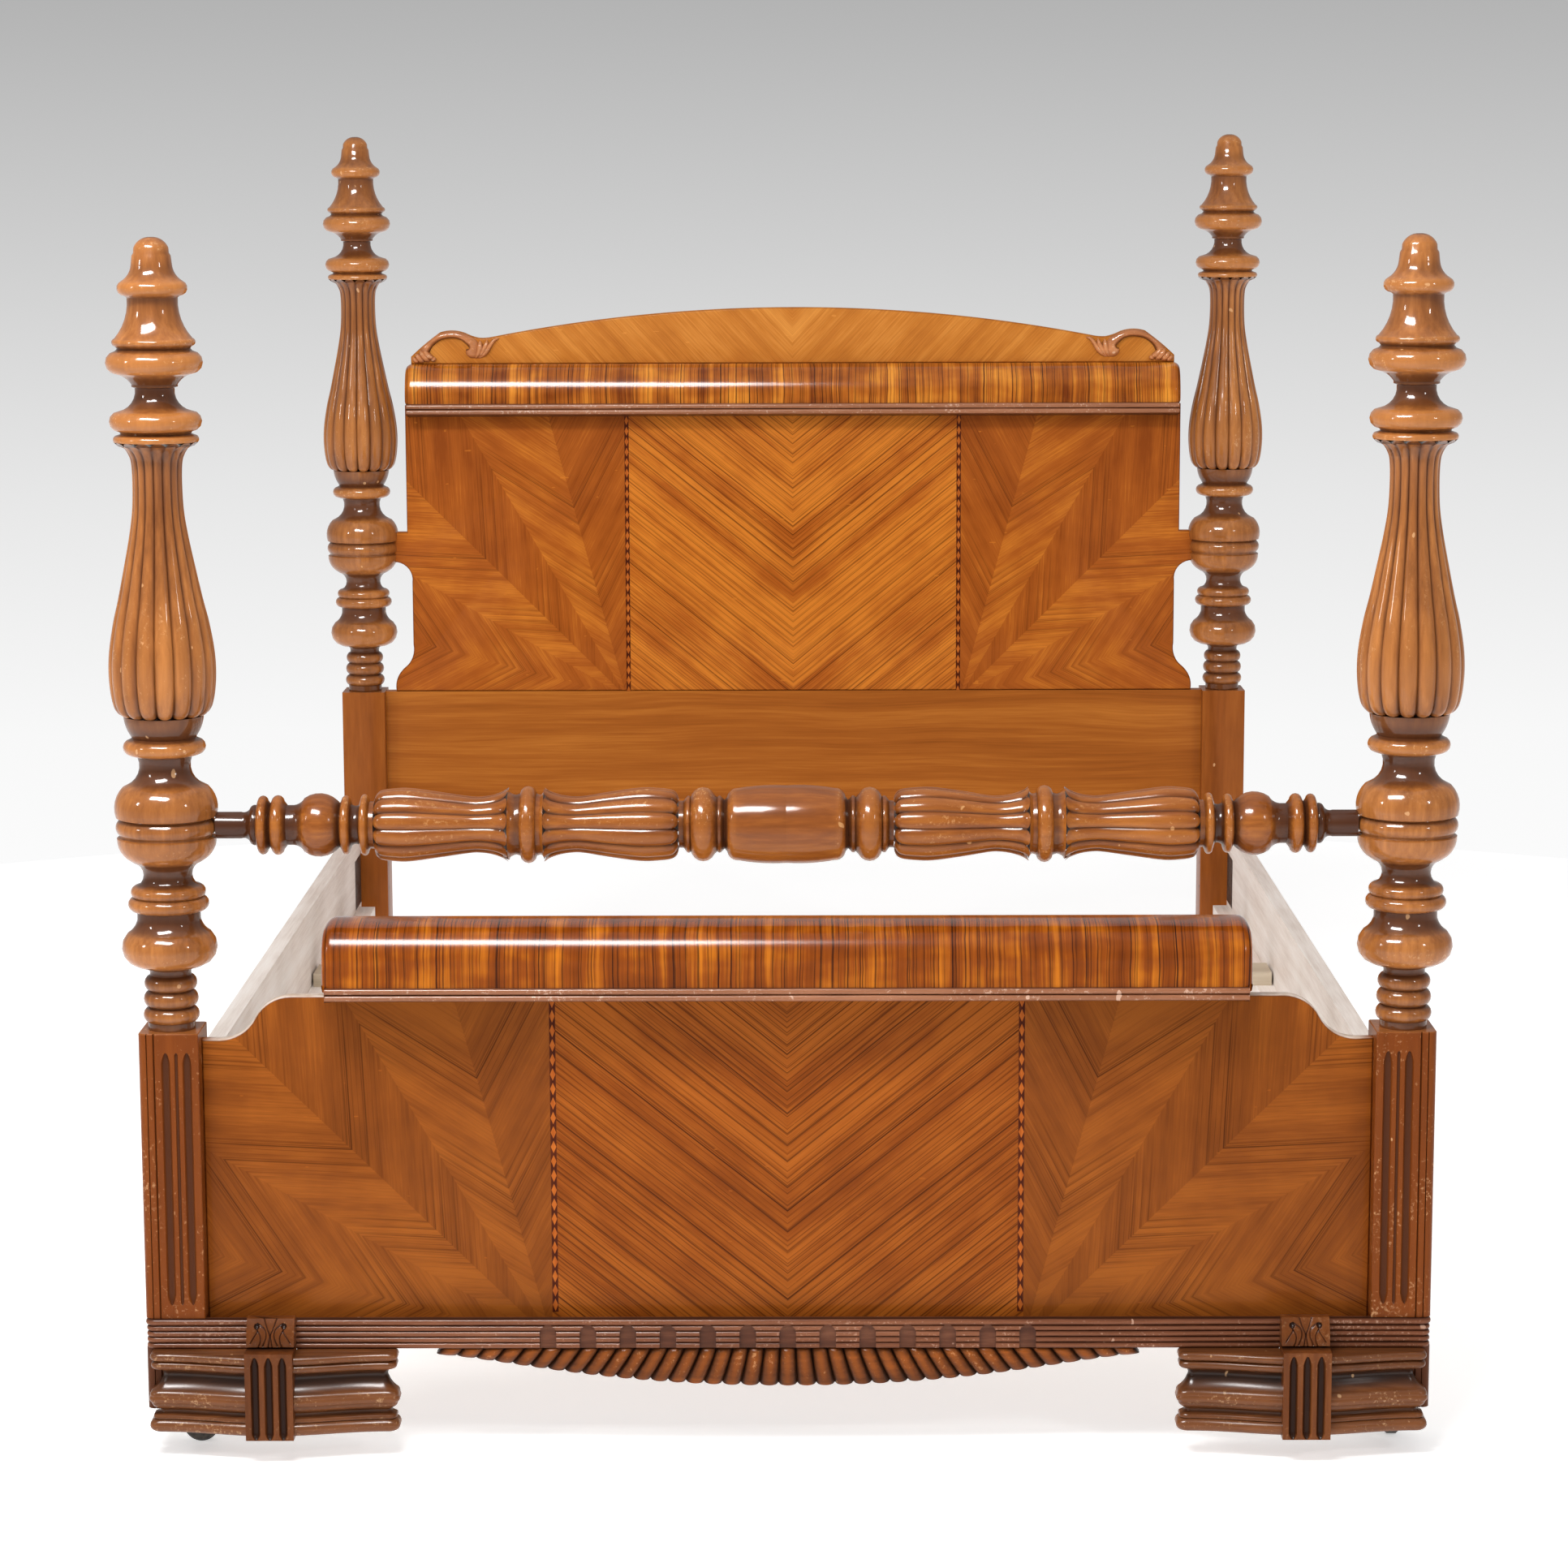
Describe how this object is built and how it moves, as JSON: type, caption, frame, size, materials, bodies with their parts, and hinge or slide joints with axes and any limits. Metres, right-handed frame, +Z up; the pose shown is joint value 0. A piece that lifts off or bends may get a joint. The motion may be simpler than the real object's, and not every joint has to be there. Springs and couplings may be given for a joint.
{
  "type": "four poster bed",
  "caption": "Full-size four-poster bed with turned and reeded posts, veneered headboard and footboard, blanket rail, hooked side rails, loose slats and swivel casters.",
  "frame": {"origin": "on the floor under the middle of the bed", "axes": "+Z up, +Y from the foot to the head, +X to the right seen from the foot"},
  "size_m": [1.48, 2.119, 1.463],
  "materials": {
    "turned_walnut": "gloss lacquer",
    "chevron_veneer": "gloss lacquer",
    "striped_veneer": "gloss lacquer",
    "inlay": "gloss lacquer",
    "moulded_walnut": "satin lacquer",
    "plain_walnut": "satin lacquer",
    "bare_rail_wood": "bare wood",
    "bare_slat_wood": "bare wood",
    "hook_steel": "dulled",
    "caster_iron": "dark",
    "caster_rubber": "matte"
  },
  "bodies": {
    "bed": {"head_post_left": "turned_walnut", "head_post_right": "turned_walnut", "foot_post_left": "turned_walnut", "foot_post_right": "turned_walnut", "blanket_rail": "turned_walnut", "headboard_panel": "chevron_veneer", "footboard_panel": "chevron_veneer", "headboard_crest": "chevron_veneer", "headboard_roll": "striped_veneer", "footboard_roll": "striped_veneer", "headboard_inlay": "inlay", "footboard_inlay": "inlay", "headboard_bead": "moulded_walnut", "footboard_bead": "moulded_walnut", "crest_scroll_left": "moulded_walnut", "crest_scroll_right": "moulded_walnut", "base_rail": "moulded_walnut", "apron": "moulded_walnut", "bracket_foot_left": "moulded_walnut", "bracket_foot_right": "moulded_walnut", "bracket_key_left": "moulded_walnut", "bracket_key_right": "moulded_walnut", "head_rail": "plain_walnut", "side_rail_left": "bare_rail_wood", "side_rail_right": "bare_rail_wood", "ledger_left": "bare_rail_wood", "ledger_right": "bare_rail_wood", "rail_hooks": "hook_steel", "hook_pins": "hook_steel", "hook_screws": "hook_steel", "ledger_screws": "hook_steel", "caster_sockets": "caster_iron"},
    "slat_1": {"slat_1": "bare_slat_wood"},
    "slat_2": {"slat_2": "bare_slat_wood"},
    "slat_3": {"slat_3": "bare_slat_wood"},
    "slat_4": {"slat_4": "bare_slat_wood"},
    "slat_5": {"slat_5": "bare_slat_wood"},
    "caster_front_left": {"caster_horn_front_left": "caster_iron", "caster_axle_front_left": "caster_iron"},
    "wheel_front_left": {"caster_wheel_front_left": "caster_rubber"},
    "caster_front_right": {"caster_horn_front_right": "caster_iron", "caster_axle_front_right": "caster_iron"},
    "wheel_front_right": {"caster_wheel_front_right": "caster_rubber"},
    "caster_rear_left": {"caster_horn_rear_left": "caster_iron", "caster_axle_rear_left": "caster_iron"},
    "wheel_rear_left": {"caster_wheel_rear_left": "caster_rubber"},
    "caster_rear_right": {"caster_horn_rear_right": "caster_iron", "caster_axle_rear_right": "caster_iron"},
    "wheel_rear_right": {"caster_wheel_rear_right": "caster_rubber"}
  },
  "joints": [
    {"name": "slat_1_lift", "type": "slide", "parent": "bed", "child": "slat_1", "axis": [0, 0, 1], "range_m": [0, 0.3]},
    {"name": "slat_2_lift", "type": "slide", "parent": "bed", "child": "slat_2", "axis": [0, 0, 1], "range_m": [0, 0.3]},
    {"name": "slat_3_lift", "type": "slide", "parent": "bed", "child": "slat_3", "axis": [0, 0, 1], "range_m": [0, 0.3]},
    {"name": "slat_4_lift", "type": "slide", "parent": "bed", "child": "slat_4", "axis": [0, 0, 1], "range_m": [0, 0.3]},
    {"name": "slat_5_lift", "type": "slide", "parent": "bed", "child": "slat_5", "axis": [0, 0, 1], "range_m": [0, 0.3]},
    {"name": "swivel_front_left", "type": "hinge", "parent": "bed", "child": "caster_front_left", "pos_m": [-0.6825, -0.96845, 0.05], "axis": [0, 0, 1], "continuous": true},
    {"name": "spin_front_left", "type": "hinge", "parent": "caster_front_left", "child": "wheel_front_left", "pos_m": [-0.6625, -0.96845, 0.02], "axis": [0, 1, 0], "continuous": true},
    {"name": "swivel_front_right", "type": "hinge", "parent": "bed", "child": "caster_front_right", "pos_m": [0.6825, -0.96845, 0.05], "axis": [0, 0, 1], "continuous": true},
    {"name": "spin_front_right", "type": "hinge", "parent": "caster_front_right", "child": "wheel_front_right", "pos_m": [0.6825, -0.94845, 0.02], "axis": [1, 0, 0], "continuous": true},
    {"name": "swivel_rear_left", "type": "hinge", "parent": "bed", "child": "caster_rear_left", "pos_m": [-0.6825, 1.00155, 0.05], "axis": [0, 0, 1], "continuous": true},
    {"name": "spin_rear_left", "type": "hinge", "parent": "caster_rear_left", "child": "wheel_rear_left", "pos_m": [-0.6825, 1.02155, 0.02], "axis": [1, 0, 0], "continuous": true},
    {"name": "swivel_rear_right", "type": "hinge", "parent": "bed", "child": "caster_rear_right", "pos_m": [0.6825, 1.00155, 0.05], "axis": [0, 0, 1], "continuous": true},
    {"name": "spin_rear_right", "type": "hinge", "parent": "caster_rear_right", "child": "wheel_rear_right", "pos_m": [0.6825, 1.02155, 0.02], "axis": [1, 0, 0], "continuous": true}
  ]
}
